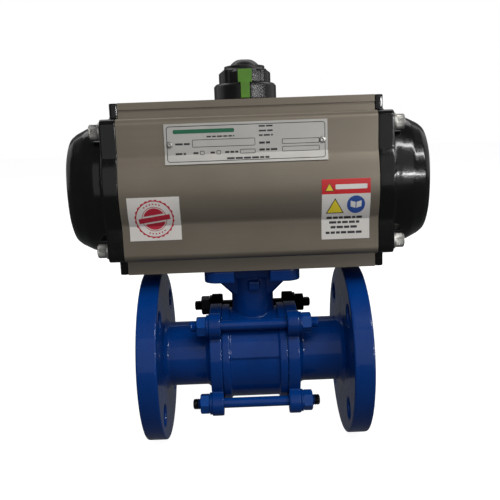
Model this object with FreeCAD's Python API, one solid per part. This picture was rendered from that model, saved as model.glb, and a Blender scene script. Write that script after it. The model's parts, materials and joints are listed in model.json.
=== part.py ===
import FreeCAD, Part
import math
import os

# Quarter-turn pneumatic actuator bolted to the three-piece flanged ball valve that it turns.
# The origin is where the pipe axis (X) meets the stem axis (Z). -Y is the label side, +Y the
# side with the air ports and the travel stops. The valve is drawn open, both pistons outward.

# ---- Driving dimensions, millimetres ----

# Valve
BORE_R = 19.0
FACE_HALF = 82.5
FLANGE_R = 63.5
FLANGE_THICK = 15.9
RAISED_FACE_R = 36.5
RAISED_FACE = 1.6
FLANGE_PCD = 98.4
FLANGE_HOLE_R = 7.95
NECK_R = 24.15
BODY_HALF = 23.75
BARREL_R = 33.8
BARREL_HALF = 18.0
RING_R = 36.2
CAVITY_R = 30.6
BALL_R = 30.0
END_PLATE_R = 37.0
END_PLATE_OUT = 32.5
ROD_PITCH = 29.4
ROD_R = 4.0
ROD_HALF = 46.3
LOBE_R = 9.0
NUT_FLATS = 13.0
NUT_HEIGHT = 6.8
WASHER_R = 8.0
WASHER_THICK = 1.6

# Stem and mounting pad
BONNET_R = 15.6
PAD_LOW = 61.2
PAD_TOP = 70.0
PAD_HALF = 34.0
PAD_CORNER = 9.5
PAD_RECESS_HALF = 12.5
PAD_RECESS_Y = 20.0
PAD_PITCH = 24.75
STEM_R = 8.5
STEM_SQUARE = 14.0
STEM_TOP = PAD_TOP + 16.0
PACKING_R = 12.0
WEB_LOW = 46.4

# Actuator body
HEIGHT = 117.0
HALF_H = HEIGHT / 2
AXIS_Z = PAD_TOP + HALF_H
TOP_Z = PAD_TOP + HEIGHT
BODY_HALF_X = 86.0
PISTON_BORE_R = 46.0
CREST_R = 51.5
FLAT_Y = 46.0
RAIL_Y = 35.0
RAIL_STEP = 10.5
SHOULDER_R = 5.0
REAR_PAD_Y = 57.0
REAR_PAD_HALF = 38.0

# End caps
CAP_PLATE_X = 91.5
CAP_FLANGE_X = 97.0
CAP_END_X = 124.0
DRUM_ARCH_R = 60.0
DRUM_CROWN = 1.6
CAP_SCREW_Y = 38.5
CAP_SCREW_Z = 40.0

# Rack and pinion
MODULE = 1.5
TEETH = 20
PRESSURE_ANGLE = math.radians(20)
PITCH_R = MODULE * TEETH / 2
PITCH = math.pi * MODULE
THINNING = 0.12
STROKE = PITCH_R * math.pi / 2
RACK_HALF_H = 14.0
PISTON_IN = 37.0
PISTON_OUT = 54.0
PISTON_R = 45.6
GUIDE_R = 45.95

# Travel stops
STOP_X = 20.5
STOP_Z = 29.0
STOP_TIP_Y = 6.0
STOP_END_Y = 66.0
STOP_GAP = 0.1
FIT = 0.05

# Pinion, its bearings and the position indicator above it
TOP_JOURNAL_R = 12.0
LOW_JOURNAL_R = 17.5
TOP_BORE_R = 14.0
LOW_BORE_R = 19.5
SHAFT_TOP_R = 9.0
SHAFT_FLATS = 15.0
GEAR_HALF_H = 15.0
CAM_FLATS = 24.8
CAM_HALF_H = 4.0
SEAL_TUBE_R = 1.7
LOW_SEAL_Z = PAD_TOP + 5.0
TOP_SEAL_Z = TOP_Z - 5.0
SNAP_BAND = (TOP_Z + 2.6, TOP_Z + 3.8)
SKIRT_R = 22.2
CAP_LOW = TOP_Z + 12.2
INDICATOR_SEAT = CAP_LOW + 14.6

# Air ports and passages
PORT_R = 6.58
PORT_DEPTH = 9.0
PORTS_X = (-12.0, 12.0)
PASSAGE = (48.0, -20.0)
PASSAGE_R = 2.5

# Screws and seals
CAP_SCREW_R = 3.0
CAP_WASHER = 1.6
POCKET_R = 7.0
M5_CORE_R = 2.5
M8_R = 4.0
WEAR_BAND = (49.0, 53.0)
WEAR_IN_R = 43.9
SEAL_BAND = (41.0, 44.6)
SEAL_IN_R = 42.75
PAD_BED_R = 43.6
SEAT_R = 27.0
SEAT_OUT = 27.5
NAMEPLATE_X = (-54.5, 52.5)
NAMEPLATE_THICK = 0.8
FILM_THICK = 0.2

AXES = {
    "x": FreeCAD.Vector(1, 0, 0),
    "y": FreeCAD.Vector(0, 1, 0),
    "z": FreeCAD.Vector(0, 0, 1),
}


# ---- Helpers ----

def at(axis, along, across=(0, 0)):
    """Point with one coordinate along the axis and the other two, in X, Y, Z order, across it."""
    a, b = across
    points = {"x": (along, a, b), "y": (a, along, b), "z": (a, b, along)}
    return FreeCAD.Vector(*points[axis])


def rod(axis, radius, start, end, across=(0, 0)):
    return Part.makeCylinder(radius, end - start, at(axis, start, across), AXES[axis])


def ring(axis, inner, outer, start, end, across=(0, 0)):
    return rod(axis, outer, start, end, across).cut(rod(axis, inner, start, end, across))


def cone(axis, start_r, end_r, start, end, across=(0, 0)):
    return Part.makeCone(start_r, end_r, end - start, at(axis, start, across), AXES[axis])


def torus(axis, centre_r, tube_r, along, across=(0, 0)):
    return Part.makeTorus(centre_r, tube_r, at(axis, along, across), AXES[axis])


def block(x, y, z):
    """Box between the two limits given for each direction."""
    low = FreeCAD.Vector(x[0], y[0], z[0])
    return Part.makeBox(x[1] - x[0], y[1] - y[0], z[1] - z[0], low)


def wire(axis, along, path):
    """Closed wire across the axis. A step is a point, or (middle, end) for an arc."""
    first = here = at(axis, along, path[0])
    edges = []
    for step in path[1:]:
        if isinstance(step[0], tuple):
            middle, end = [at(axis, along, point) for point in step]
            edges.append(Part.Arc(here, middle, end).toShape())
        else:
            end = at(axis, along, step)
            edges.append(Part.LineSegment(here, end).toShape())
        here = end
    if not here.isEqual(first, 1e-6):
        edges.append(Part.LineSegment(here, first).toShape())
    return Part.Wire(edges)


def prism(axis, path, start, end):
    return Part.Face(wire(axis, start, path)).extrude(AXES[axis] * (end - start))


def polygon(axis, sides, flats, start, end, across=(0, 0), turn=0.0):
    """Regular prism, measured across its flats."""
    corner = flats / 2 / math.cos(math.pi / sides)
    angles = [math.radians(turn) + 2 * math.pi * i / sides for i in range(sides)]
    path = [(across[0] + corner * math.cos(a), across[1] + corner * math.sin(a)) for a in angles]
    return prism(axis, path, start, end)


def hexagon(axis, flats, start, end, across=(0, 0)):
    return polygon(axis, 6, flats, start, end, across)


def octagon(flats, low, high):
    return polygon("z", 8, flats, low, high, turn=22.5)


def square(flats, low, high, turn=0.0):
    return polygon("z", 4, flats, low, high, turn=45 + turn)


def lifted(path):
    """The same (y, z) path with z measured from the cylinder axis."""
    moved = []
    for step in path:
        if isinstance(step[0], tuple):
            moved.append(tuple((y, AXIS_Z + z) for y, z in step))
        else:
            moved.append((step[0], AXIS_Z + step[1]))
    return moved


def drum_section(half, corner, x):
    """Wire across the X axis, centred on the cylinder axis: flat top and bottom, an arched label
    side and port side, and rounded corners that run smoothly into both."""
    crest = half + DRUM_CROWN
    arch_y = crest - DRUM_ARCH_R
    bend_z = half - corner
    reach = DRUM_ARCH_R - corner
    bend_y = arch_y + math.sqrt(reach ** 2 - bend_z ** 2)
    slope = math.atan2(bend_z, bend_y - arch_y)
    join = (arch_y + DRUM_ARCH_R * math.cos(slope), DRUM_ARCH_R * math.sin(slope))
    middle = (slope + math.pi / 2) / 2
    round_off = (bend_y + corner * math.cos(middle), bend_z + corner * math.sin(middle))
    return wire("x", x, lifted([
        (join[0], -join[1]),
        ((crest, 0), join),
        (round_off, (bend_y, half)),
        (-bend_y, half),
        ((-round_off[0], round_off[1]), (-join[0], join[1])),
        ((-crest, 0), (-join[0], -join[1])),
        ((-round_off[0], -round_off[1]), (-bend_y, -half)),
        (bend_y, -half),
        ((round_off[0], -round_off[1]), (join[0], -join[1])),
    ]))


def fuse(shapes):
    return shapes[0].fuse(shapes[1:]).removeSplitter()


def cut(shape, tools):
    return shape.cut(tools)


def corners(a, b):
    return [(i * a, j * b) for i in (-1, 1) for j in (-1, 1)]


def mirrored(shape):
    """The same piece on the other side of the stem, mirrored in X."""
    return shape.mirror(FreeCAD.Vector(0, 0, 0), AXES["x"])


def turned(shape):
    """The same piece half a turn round the stem."""
    copy = shape.copy()
    copy.rotate(FreeCAD.Vector(0, 0, 0), AXES["z"], 180)
    return copy


# ---- Actuator body and end caps ----

def profile(grow=0.0, rails=True):
    """Section of the extruded body across X, as (y, z). Grow moves the label side outward."""
    crest, flat = CREST_R + grow, FLAT_Y + grow
    crease = math.sqrt(CREST_R ** 2 - FLAT_Y ** 2)
    shoulder = HALF_H - RAIL_STEP
    bend = SHOULDER_R * (1 - math.sqrt(0.5))
    rear = [(RAIL_Y, shoulder), (REAR_PAD_Y - SHOULDER_R, shoulder), (REAR_PAD_Y, REAR_PAD_HALF)]
    path = [
        (-flat, crease),
        (-flat, shoulder - SHOULDER_R),
        ((-flat + bend, shoulder - bend), (-flat + SHOULDER_R, shoulder)),
        (-RAIL_Y, shoulder),
    ]
    path += [(-RAIL_Y, HALF_H), (RAIL_Y, HALF_H)] if rails else []
    path += rear
    path += [(y, -z) for y, z in reversed(rear)]
    path += [(RAIL_Y, -HALF_H), (-RAIL_Y, -HALF_H)] if rails else []
    path += [
        (-RAIL_Y, -shoulder),
        (-flat + SHOULDER_R, -shoulder),
        ((-flat + bend, -shoulder + bend), (-flat, SHOULDER_R - shoulder)),
        (-flat, -crease),
        ((-crest, 0), (-flat, crease)),
    ]
    return lifted(path)


def grooves():
    """Shallow groove along the front and rear of the top rail."""
    depth, low = 1.2, TOP_Z - 6.4
    along = (-BODY_HALF_X, BODY_HALF_X)
    return [block(along, (y - depth, y + depth), (low, low + 1.8)) for y in (-RAIL_Y, RAIL_Y)]


def actuator_body():
    body = prism("x", profile(), -BODY_HALF_X, BODY_HALF_X)
    holes = [rod("x", PISTON_BORE_R, -BODY_HALF_X, BODY_HALF_X, (0, AXIS_Z))]
    holes += [rod("z", TOP_BORE_R, AXIS_Z, TOP_Z), rod("z", LOW_BORE_R, PAD_TOP, AXIS_Z)]
    holes += grooves() + air_ways()
    holes += [rod("z", M5_CORE_R, TOP_Z - 8, TOP_Z, point) for point in corners(40, 15)]
    holes += [rod("z", M8_R, PAD_TOP, PAD_TOP + 13, p) for p in corners(PAD_PITCH, PAD_PITCH)]
    for x in (-STOP_X, STOP_X):
        holes.append(rod("y", ROD_R + FIT, 30, REAR_PAD_Y, (x, AXIS_Z + STOP_Z)))
    for y, z in corners(CAP_SCREW_Y, CAP_SCREW_Z):
        for start in (-BODY_HALF_X, BODY_HALF_X - 14):
            holes.append(rod("x", CAP_SCREW_R, start, start + 14, (y, AXIS_Z + z)))
    return cut(body, holes)


def air_ways():
    """Ports on the rear pad, their passages to the chambers and the air valve's screw holes."""
    centre_port, end_port = PORTS_X[0], PORTS_X[1] - 3
    inner = REAR_PAD_Y - 6
    low = AXIS_Z + PASSAGE[1]
    holes = [rod("y", PORT_R, REAR_PAD_Y - PORT_DEPTH, REAR_PAD_Y, (x, AXIS_Z)) for x in PORTS_X]
    holes += [
        rod("y", PASSAGE_R + 0.5, 40, REAR_PAD_Y - PORT_DEPTH, (centre_port, AXIS_Z)),
        rod("z", PASSAGE_R, low, AXIS_Z, (end_port, inner)),
        rod("y", PASSAGE_R, PASSAGE[0], inner, (end_port, low)),
        rod("x", PASSAGE_R, -BODY_HALF_X, BODY_HALF_X, (PASSAGE[0], low)),
    ]
    for x, z in corners(16, 12):
        holes.append(rod("y", M5_CORE_R, REAR_PAD_Y - 7, REAR_PAD_Y, (x, AXIS_Z + z)))
    return holes


def gasket_outline(grow):
    """Round the cylinder and round the air passage beside it, as one outline."""
    start, end = BODY_HALF_X, BODY_HALF_X + 1.2
    passage = (PASSAGE[0], AXIS_Z + PASSAGE[1])
    main = rod("x", 48.2 + grow, start, end, (0, AXIS_Z))
    return main.fuse(rod("x", 4.2 + grow, start, end, passage))


def end_cap_gasket():
    return gasket_outline(1.8).cut(gasket_outline(0))


def end_cap():
    """Right-hand cap: a plate with the body's outline, a thick flange and a tapered drum."""
    plate = prism("x", profile(), BODY_HALF_X, CAP_PLATE_X)
    flange = prism("x", profile(rails=False), BODY_HALF_X, CAP_FLANGE_X)
    drum = Part.makeLoft([
        drum_section(44.9, 27, CAP_FLANGE_X - 1),
        drum_section(44.6, 28, CAP_FLANGE_X + 6),
        drum_section(43.2, 28.5, CAP_FLANGE_X + 14),
        drum_section(39.5, 28, CAP_END_X - 5),
        drum_section(37.0, 27, CAP_END_X - 1.6),
        drum_section(33.0, 25, CAP_END_X),
    ], True, True)
    centre = (0, AXIS_Z)
    hollow = [
        rod("x", 39, BODY_HALF_X, CAP_END_X - 12, centre),
        cone("x", 39, 32, CAP_END_X - 12, CAP_END_X - 5, centre),
        block((BODY_HALF_X, BODY_HALF_X + 4), (34, PASSAGE[0] + PASSAGE_R),
              (AXIS_Z + PASSAGE[1] - PASSAGE_R, AXIS_Z + PASSAGE[1] + PASSAGE_R)),
        end_cap_gasket(),
    ]
    pockets = []
    for y, z in corners(CAP_SCREW_Y, CAP_SCREW_Z):
        pockets += screw_pocket(y, AXIS_Z + z)
    return cut(fuse([plate, flange, drum]), hollow + pockets)


def screw_pocket(y, z):
    """Screw hole in the flange, and room for the head that runs out of the drum's corner."""
    along = (CAP_FLANGE_X, CAP_END_X)
    out_y = y + math.copysign(9, y)
    out_z = z + math.copysign(9, z - AXIS_Z)
    return [
        rod("x", CAP_SCREW_R + 0.25, BODY_HALF_X, CAP_END_X, (y, z)),
        rod("x", POCKET_R, *along, (y, z)),
        block(along, sorted((y, out_y)), (z - POCKET_R, z + POCKET_R)),
        block(along, (y - POCKET_R, y + POCKET_R), sorted((z, out_z))),
    ]


def socket_screw(y, z):
    """Cap screw with a socket head, from the cap flange into the body."""
    head_start = CAP_FLANGE_X + CAP_WASHER
    head_end = head_start + 2 * CAP_SCREW_R
    head = rod("x", 5.0, head_start, head_end, (y, z))
    shank = rod("x", CAP_SCREW_R, BODY_HALF_X - 13, head_start, (y, z))
    socket = hexagon("x", 5.0, head_end - 3, head_end, (y, z))
    return head.fuse(shank).cut(socket)


def end_cap_screws():
    right = [socket_screw(y, AXIS_Z + z) for y, z in corners(CAP_SCREW_Y, CAP_SCREW_Z)]
    return Part.makeCompound(right + [mirrored(screw) for screw in right])


def end_cap_screw_washers():
    right = [
        ring("x", 3.1, 5.9, CAP_FLANGE_X, CAP_FLANGE_X + CAP_WASHER, (y, AXIS_Z + z))
        for y, z in corners(CAP_SCREW_Y, CAP_SCREW_Z)
    ]
    return Part.makeCompound(right + [mirrored(washer) for washer in right])


# ---- Pistons, pinion and travel stops ----

def rack_tooth(x):
    """Straight-sided rack tooth about x, pointing from the arm towards the pinion."""
    slope = math.tan(PRESSURE_ANGLE)
    half = PITCH / 4 - THINNING / 2
    root, tip = -PITCH_R - 1.25 * MODULE, -PITCH_R + MODULE
    outline = [
        (x - half - 1.25 * MODULE * slope, root - 0.2),
        (x + half + 1.25 * MODULE * slope, root - 0.2),
        (x + half + 1.25 * MODULE * slope, root),
        (x + half - MODULE * slope, tip),
        (x - half + MODULE * slope, tip),
        (x - half - 1.25 * MODULE * slope, root),
    ]
    return prism("z", outline, AXIS_Z - RACK_HALF_H, AXIS_Z + RACK_HALF_H)


def in_cylinder(radius, x, y, z_half):
    """Part of a cylinder in the piston bore between limits in X, Y and Z."""
    limits = block(x, y, (AXIS_Z - z_half, AXIS_Z + z_half))
    return rod("x", radius, x[0], x[1], (0, AXIS_Z)).common(limits)


def piston_right():
    """Right piston, drawn closed and then slid outward: a disc with a toothed arm in front."""
    centre = (0, AXIS_Z)
    disc = rod("x", PISTON_R, PISTON_IN, PISTON_OUT, centre)
    disc = disc.cut(rod("x", 36, PISTON_OUT - 7, PISTON_OUT, centre))
    arm_back = -PITCH_R - 1.25 * MODULE
    arm = in_cylinder(PISTON_R, (-35.2, PISTON_IN), (-PISTON_R, arm_back), RACK_HALF_H)
    teeth = [rack_tooth(i * PITCH) for i in range(-7, 8)]
    bands = [
        ring("x", WEAR_IN_R, 50, *WEAR_BAND, centre),
        ring("x", SEAL_IN_R, 50, *SEAL_BAND, centre),
        behind_arm(50),
    ]
    return slid_out(cut(fuse([disc, arm] + teeth), bands))


def behind_arm(outer):
    """Shallow bed of the guide pad in the arm's back, out to a radius."""
    bed = ring("x", PAD_BED_R, outer, -26, 26, (0, AXIS_Z))
    return bed.common(block((-26, 26), (-50, 0), (AXIS_Z - 8, AXIS_Z + 8)))


def slid_out(shape):
    moved = shape.copy()
    moved.translate(FreeCAD.Vector(STROKE, 0, 0))
    return moved


def piston_guide_pad():
    return slid_out(behind_arm(GUIDE_R))


def piston_wear_ring():
    return slid_out(ring("x", WEAR_IN_R, GUIDE_R, *WEAR_BAND, (0, AXIS_Z)))


def piston_oring():
    tube = (GUIDE_R - SEAL_IN_R) / 2
    return slid_out(torus("x", SEAL_IN_R + tube, tube, sum(SEAL_BAND) / 2, (0, AXIS_Z)))


def gear_outline():
    """Involute teeth of the pinion, with a tooth space centred on -Y and on +Y."""
    base_r = PITCH_R * math.cos(PRESSURE_ANGLE)
    root_r = PITCH_R - 1.25 * MODULE
    tip_r = PITCH_R + MODULE

    def involute(angle):
        return math.tan(angle) - angle

    half = math.pi / (2 * TEETH) - THINNING / (2 * PITCH_R) + involute(PRESSURE_ANGLE)
    steps = 4
    flank = [(root_r, half)]
    for i in range(steps + 1):
        radius = base_r + (tip_r - base_r) * i / steps
        flank.append((radius, half - involute(math.acos(base_r / radius))))
    points = []
    for tooth in range(TEETH):
        centre = -math.pi / 2 + 2 * math.pi * (tooth + 0.5) / TEETH
        rise = [(r, centre - a) for r, a in flank]
        fall = [(r, centre + a) for r, a in reversed(flank)]
        points += [(r * math.cos(a), r * math.sin(a)) for r, a in rise + fall]
    return points


def pinion():
    cam_low, cam_high = AXIS_Z + STOP_Z - CAM_HALF_H, AXIS_Z + STOP_Z + CAM_HALF_H
    shaft = fuse([
        rod("z", LOW_JOURNAL_R, PAD_TOP + 0.3, AXIS_Z - GEAR_HALF_H),
        prism("z", gear_outline(), AXIS_Z - GEAR_HALF_H, AXIS_Z + GEAR_HALF_H),
        rod("z", 13.0, AXIS_Z + GEAR_HALF_H, cam_low),
        octagon(CAM_FLATS, cam_low, cam_high),
        rod("z", TOP_JOURNAL_R, cam_high, TOP_Z + 5),
        shaft_end(0.0, TOP_Z + 5, TOP_Z + 20),
    ])
    return cut(shaft, [
        square(STEM_SQUARE + 0.1, PAD_TOP, STEM_TOP + 2),
        square(STEM_SQUARE + 0.1, PAD_TOP, STEM_TOP + 2, turn=45),
        rod("z", M5_CORE_R, TOP_Z + 6, TOP_Z + 20),
        ring("z", 11, 14, *SNAP_BAND),
        ring("z", LOW_JOURNAL_R - 1.5, 19, LOW_SEAL_Z - 1.9, LOW_SEAL_Z + 1.9),
        ring("z", TOP_JOURNAL_R - 1.5, 13, TOP_SEAL_Z - 1.9, TOP_SEAL_Z + 1.9),
    ])


def shaft_end(gap, low, high):
    """Round top of the pinion with two flats, or the hole for it with a gap all round."""
    half = SHAFT_FLATS / 2 + gap
    return rod("z", SHAFT_TOP_R + gap, low, high).common(block((-half, half), (-20, 20), (low, high)))


def stop_cam():
    """Ring with one lobe. Each flank of the lobe meets one stop screw at an end of the travel."""
    low, high = AXIS_Z + STOP_Z - CAM_HALF_H, AXIS_Z + STOP_Z + CAM_HALF_H
    reach = STOP_TIP_Y - STOP_GAP
    lobe = rod("z", 24, low, high).common(block((-reach, 30), (-30, reach), (low, high)))
    return fuse([rod("z", 16.5, low, high), lobe]).cut(octagon(CAM_FLATS, low, high))


def stop_screw(x):
    centre = (x, AXIS_Z + STOP_Z)
    screw = rod("y", ROD_R, STOP_TIP_Y, STOP_END_Y, centre)
    return screw.cut(hexagon("y", 4.0, STOP_END_Y - 4, STOP_END_Y, centre))


def stop_lock_nut(x):
    centre = (x, AXIS_Z + STOP_Z)
    start = REAR_PAD_Y + 1.6
    nut = hexagon("y", NUT_FLATS, start, start + 5.5, centre)
    return nut.cut(rod("y", ROD_R + FIT, start, start + 5.5, centre))


def stop_seal_washer(x):
    return ring("y", ROD_R + FIT, 7.5, REAR_PAD_Y, REAR_PAD_Y + 1.6, (x, AXIS_Z + STOP_Z))


# ---- Position indicator and labels ----

def indicator_base():
    """Skirted round base that clears the snap ring and sits on the flats of the pinion's top."""
    low, roof = TOP_Z + 0.8, TOP_Z + 8.8
    skirt = rod("z", SKIRT_R, low, CAP_LOW - 1.7)
    shoulder = cone("z", SKIRT_R, SKIRT_R - 1.7, CAP_LOW - 1.7, CAP_LOW)
    hub = rod("z", 12.0, TOP_Z + 5.4, roof)
    base = fuse([skirt, shoulder]).cut(rod("z", SKIRT_R - 2.2, low, roof)).fuse(hub)
    return cut(base.removeSplitter(), [shaft_end(FIT, TOP_Z + 5.3, CAP_LOW)] + inserts())


def insert():
    """T-shaped coloured insert on the label side: head in the cap, leg down the base."""
    leg_x = (-3.1, 3.1)
    head = block((-4.8, 4.8), (-18.9, -11.0), (CAP_LOW, TOP_Z + 21.0))
    leg = block(leg_x, (-22.9, -20.6), (TOP_Z + 1.4, TOP_Z + 10.2))
    bridge = block(leg_x, (-22.9, -15.0), (TOP_Z + 9.6, CAP_LOW + 0.2))
    return fuse([head, leg, bridge])


def inserts():
    return [insert(), turned(insert())]


def indicator_cap():
    """Stepped dome over the base, with four shallow lobes round its upper step."""
    steps = fuse([
        rod("z", 18.4, CAP_LOW, CAP_LOW + 7.2),
        cone("z", 18.4, 14.8, CAP_LOW + 7.2, CAP_LOW + 10.0),
        rod("z", 14.4, CAP_LOW + 10.0, CAP_LOW + 12.2),
    ])
    crown = Part.makeSphere(13.4, FreeCAD.Vector(0, 0, CAP_LOW + 4.2))
    crown = crown.common(rod("z", 10.6, CAP_LOW + 12.2, CAP_LOW + 20))
    reach = 15.0 * math.sqrt(0.5)
    lobes = [rod("z", 4.6, CAP_LOW, CAP_LOW + 9.0, point) for point in corners(reach, reach)]
    screw_room = [
        rod("z", 4.9, INDICATOR_SEAT, INDICATOR_SEAT + 6),
        rod("z", 3.1, CAP_LOW, INDICATOR_SEAT + 1),
    ]
    cap = fuse([steps, crown] + lobes)
    return cut(cap, [shaft_end(FIT, CAP_LOW, TOP_Z + 20.2)] + screw_room + inserts())


def indicator_screw():
    top = INDICATOR_SEAT + 2.0
    head = rod("z", 4.7, INDICATOR_SEAT, top)
    shank = rod("z", M5_CORE_R, TOP_Z + 8, INDICATOR_SEAT)
    slot = block((-5, 5), (-0.6, 0.6), (top - 1.0, top))
    return head.fuse(shank).cut(slot)


def label(x, z, thick):
    """Thin plate that follows the label side of the body between limits in X and in z."""
    outer = prism("x", profile(grow=thick), x[0], x[1])
    inner = prism("x", profile(), x[0], x[1])
    limits = block(x, (-60, -30), (AXIS_Z + z[0], AXIS_Z + z[1]))
    return outer.cut(inner).common(limits)


def nameplate():
    return label(NAMEPLATE_X, (17.0, 43.3), NAMEPLATE_THICK)


def nameplate_rivets():
    places = [(x, AXIS_Z + 30.0) for x in (NAMEPLATE_X[0] + 3.4, NAMEPLATE_X[1] - 3.4)]
    return Part.makeCompound([
        rod("y", 1.7, -FLAT_Y - NAMEPLATE_THICK - 0.8, -FLAT_Y - NAMEPLATE_THICK, place)
        for place in places
    ])


# ---- Valve ----

def about_pipe(radius, start, end):
    return rod("x", radius, start, end)


def valve_body():
    """Centre section: barrel between two rings, bonnet with stem chamber, mounting pad."""
    barrel = about_pipe(BARREL_R, -BODY_HALF, BODY_HALF)
    rings = [about_pipe(RING_R, BARREL_HALF, BODY_HALF), about_pipe(RING_R, -BODY_HALF, -BARREL_HALF)]
    across = (-BARREL_HALF, BARREL_HALF)
    panel = about_pipe(BARREL_R + 1.0, *across).common(block(across, (-40, -20), (5.8, 24)))
    bonnet = rod("z", BONNET_R, 15, PAD_LOW)
    web_reach = PAD_LOW - WEB_LOW
    webs = cone("z", BONNET_R, BONNET_R + web_reach, WEB_LOW, PAD_LOW)
    webs = webs.common(block((-40, 40), (-11, 11), (WEB_LOW, PAD_LOW)))
    lug = block((-2.6, 5.2), (-BONNET_R - 4, 0), (52.0, 58.6))
    solid = fuse([barrel, bonnet, webs, lug, panel, mounting_pad()] + rings)
    holes = [
        about_pipe(CAVITY_R, -BODY_HALF, BODY_HALF),
        rod("z", PACKING_R + 0.3, 0, 37.0),
        rod("z", STEM_R + FIT, 30, 50),
        rod("z", PACKING_R, 41.5, PAD_TOP),
        rod("z", 17.5, 64.5, PAD_TOP),
        body_seal(),
        mirrored(body_seal()),
    ]
    for point in corners(PAD_PITCH, PAD_PITCH):
        holes.append(rod("z", M8_R, PAD_LOW, PAD_TOP, point))
        holes.append(cone("z", 2 * M8_R, M8_R, PAD_LOW, PAD_LOW + M8_R, point))
    return cut(solid, holes)


def mounting_pad():
    """Square pad with rounded corners, recessed front and rear between its four ears."""
    flat = PAD_HALF - PAD_CORNER
    plate = fuse([
        block((-PAD_HALF, PAD_HALF), (-flat, flat), (PAD_LOW, PAD_TOP)),
        block((-flat, flat), (-PAD_HALF, PAD_HALF), (PAD_LOW, PAD_TOP)),
    ] + [rod("z", PAD_CORNER, PAD_LOW, PAD_TOP, point) for point in corners(flat, flat)])
    recess = [
        block((-PAD_RECESS_HALF, PAD_RECESS_HALF), y, (PAD_LOW, PAD_TOP))
        for y in ((-40, -PAD_RECESS_Y), (PAD_RECESS_Y, 40))
    ]
    return cut(plate, recess)


def body_seal():
    return ring("x", 31.6, 34.0, BODY_HALF - 1.0, BODY_HALF + 1.0)


def valve_end():
    """Right-hand end: bolting plate with four lobes, neck, and pipe flange with a raised face."""
    plate = about_pipe(END_PLATE_R, BODY_HALF, END_PLATE_OUT)
    lobes = [rod("x", LOBE_R, BODY_HALF, END_PLATE_OUT, p) for p in corners(ROD_PITCH, ROD_PITCH)]
    neck = about_pipe(NECK_R, BODY_HALF, FACE_HALF - 4)
    flange_in = FACE_HALF - FLANGE_THICK
    hub = cone("x", NECK_R, NECK_R + 3, flange_in - 3, flange_in)
    root = cone("x", NECK_R + 3, NECK_R, END_PLATE_OUT, END_PLATE_OUT + 3)
    flange = about_pipe(FLANGE_R, flange_in, FACE_HALF - RAISED_FACE)
    raised = about_pipe(RAISED_FACE_R, flange_in, FACE_HALF)
    solid = fuse([plate] + lobes + [neck, hub, root, flange, raised])
    bolt = FLANGE_PCD / 2 * math.sqrt(0.5)
    holes = [rod("x", FLANGE_HOLE_R, flange_in - 1, FACE_HALF, p) for p in corners(bolt, bolt)]
    holes += [rod("x", ROD_R + 0.3, BODY_HALF, END_PLATE_OUT, p)
              for p in corners(ROD_PITCH, ROD_PITCH)]
    holes += [about_pipe(BORE_R, BODY_HALF, FACE_HALF), about_pipe(SEAT_R, BODY_HALF, SEAT_OUT)]
    return cut(solid, holes + [body_seal()])


def seat():
    """Soft ring that the ball turns against."""
    blank = ring("x", BORE_R, SEAT_R, 13.0, SEAT_OUT)
    return blank.cut(Part.makeSphere(BALL_R + 0.15))


def ball():
    sphere = Part.makeSphere(BALL_R)
    slot = block((-20, 20), (-4.5, 4.5), (24.0, 31.0))
    return cut(sphere, [about_pipe(BORE_R, -40, 40), slot])


def stem():
    tang = rod("z", 11.0, 24.3, 31.5).common(block((-12, 12), (-4.4, 4.4), (24, 32)))
    collar = rod("z", 12.0, 31.5, 35.5)
    shaft = rod("z", STEM_R, 35.5, PAD_TOP - 0.2)
    end = rod("z", STEM_R, PAD_TOP - 0.2, STEM_TOP)
    end = end.common(square(STEM_SQUARE, PAD_TOP - 0.2, STEM_TOP))
    return fuse([tang, collar, shaft, end])


def stem_thrust_washer():
    return ring("z", STEM_R + FIT, 12.2, 35.6, 37.0)


def stem_packing():
    """Three stacked packing rings."""
    return Part.makeCompound(
        [ring("z", STEM_R + FIT, PACKING_R, 41.5 + 4 * i, 45.5 + 4 * i) for i in range(3)]
    )


def packing_gland():
    return ring("z", STEM_R + 0.1, PACKING_R - 0.1, 53.5, 59.4)


def disc_spring(z, rise):
    """Conical washer whose inner edge stands higher than its outer edge by the rise."""
    outer, inner = z + max(0, -rise), z + max(0, rise)
    section = [(STEM_R, 0, inner), (11.7, 0, outer), (11.7, 0, outer + 0.9), (STEM_R, 0, inner + 0.9)]
    points = [FreeCAD.Vector(*point) for point in section + section[:1]]
    return Part.Face(Part.makePolygon(points)).revolve(FreeCAD.Vector(0, 0, 0), AXES["z"], 360)


def disc_springs():
    return Part.makeCompound([disc_spring(59.5 + 1.6 * i, 0.6 * (-1) ** i) for i in range(3)])


def stem_nut():
    return hexagon("z", 22.0, 66.1, 69.8).cut(rod("z", STEM_R, 66, 70))


def stem_washer():
    return ring("z", STEM_R, 13.8, 64.6, 66.1)


def tie_rod_set():
    points = corners(ROD_PITCH, ROD_PITCH)
    rods = [rod("x", ROD_R, -ROD_HALF, ROD_HALF, p) for p in points]
    washer_out = END_PLATE_OUT + WASHER_THICK
    nut_out = washer_out + NUT_HEIGHT
    nuts = [hexagon("x", NUT_FLATS, washer_out, nut_out, p).cut(
        rod("x", ROD_R, washer_out, nut_out, p)) for p in points]
    washers = [ring("x", ROD_R + 0.2, WASHER_R, END_PLATE_OUT, washer_out, p) for p in points]
    return {
        "tie_rods": Part.makeCompound(rods),
        "tie_rod_nuts": Part.makeCompound(nuts + [mirrored(nut) for nut in nuts]),
        "tie_rod_washers": Part.makeCompound(washers + [mirrored(w) for w in washers]),
    }


def mounting_screws():
    """Countersunk screws, up through the pad's ears into the actuator."""
    screws = []
    for point in corners(PAD_PITCH, PAD_PITCH):
        low = PAD_LOW + 0.1
        head = cone("z", 2 * M8_R - 0.1, M8_R, low, PAD_LOW + M8_R, point)
        shank = rod("z", M8_R, low, PAD_TOP + 12, point)
        drive = hexagon("z", 5.0, low, low + 3, point)
        screws.append(head.fuse(shank).cut(drive))
    return Part.makeCompound(screws)


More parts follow.
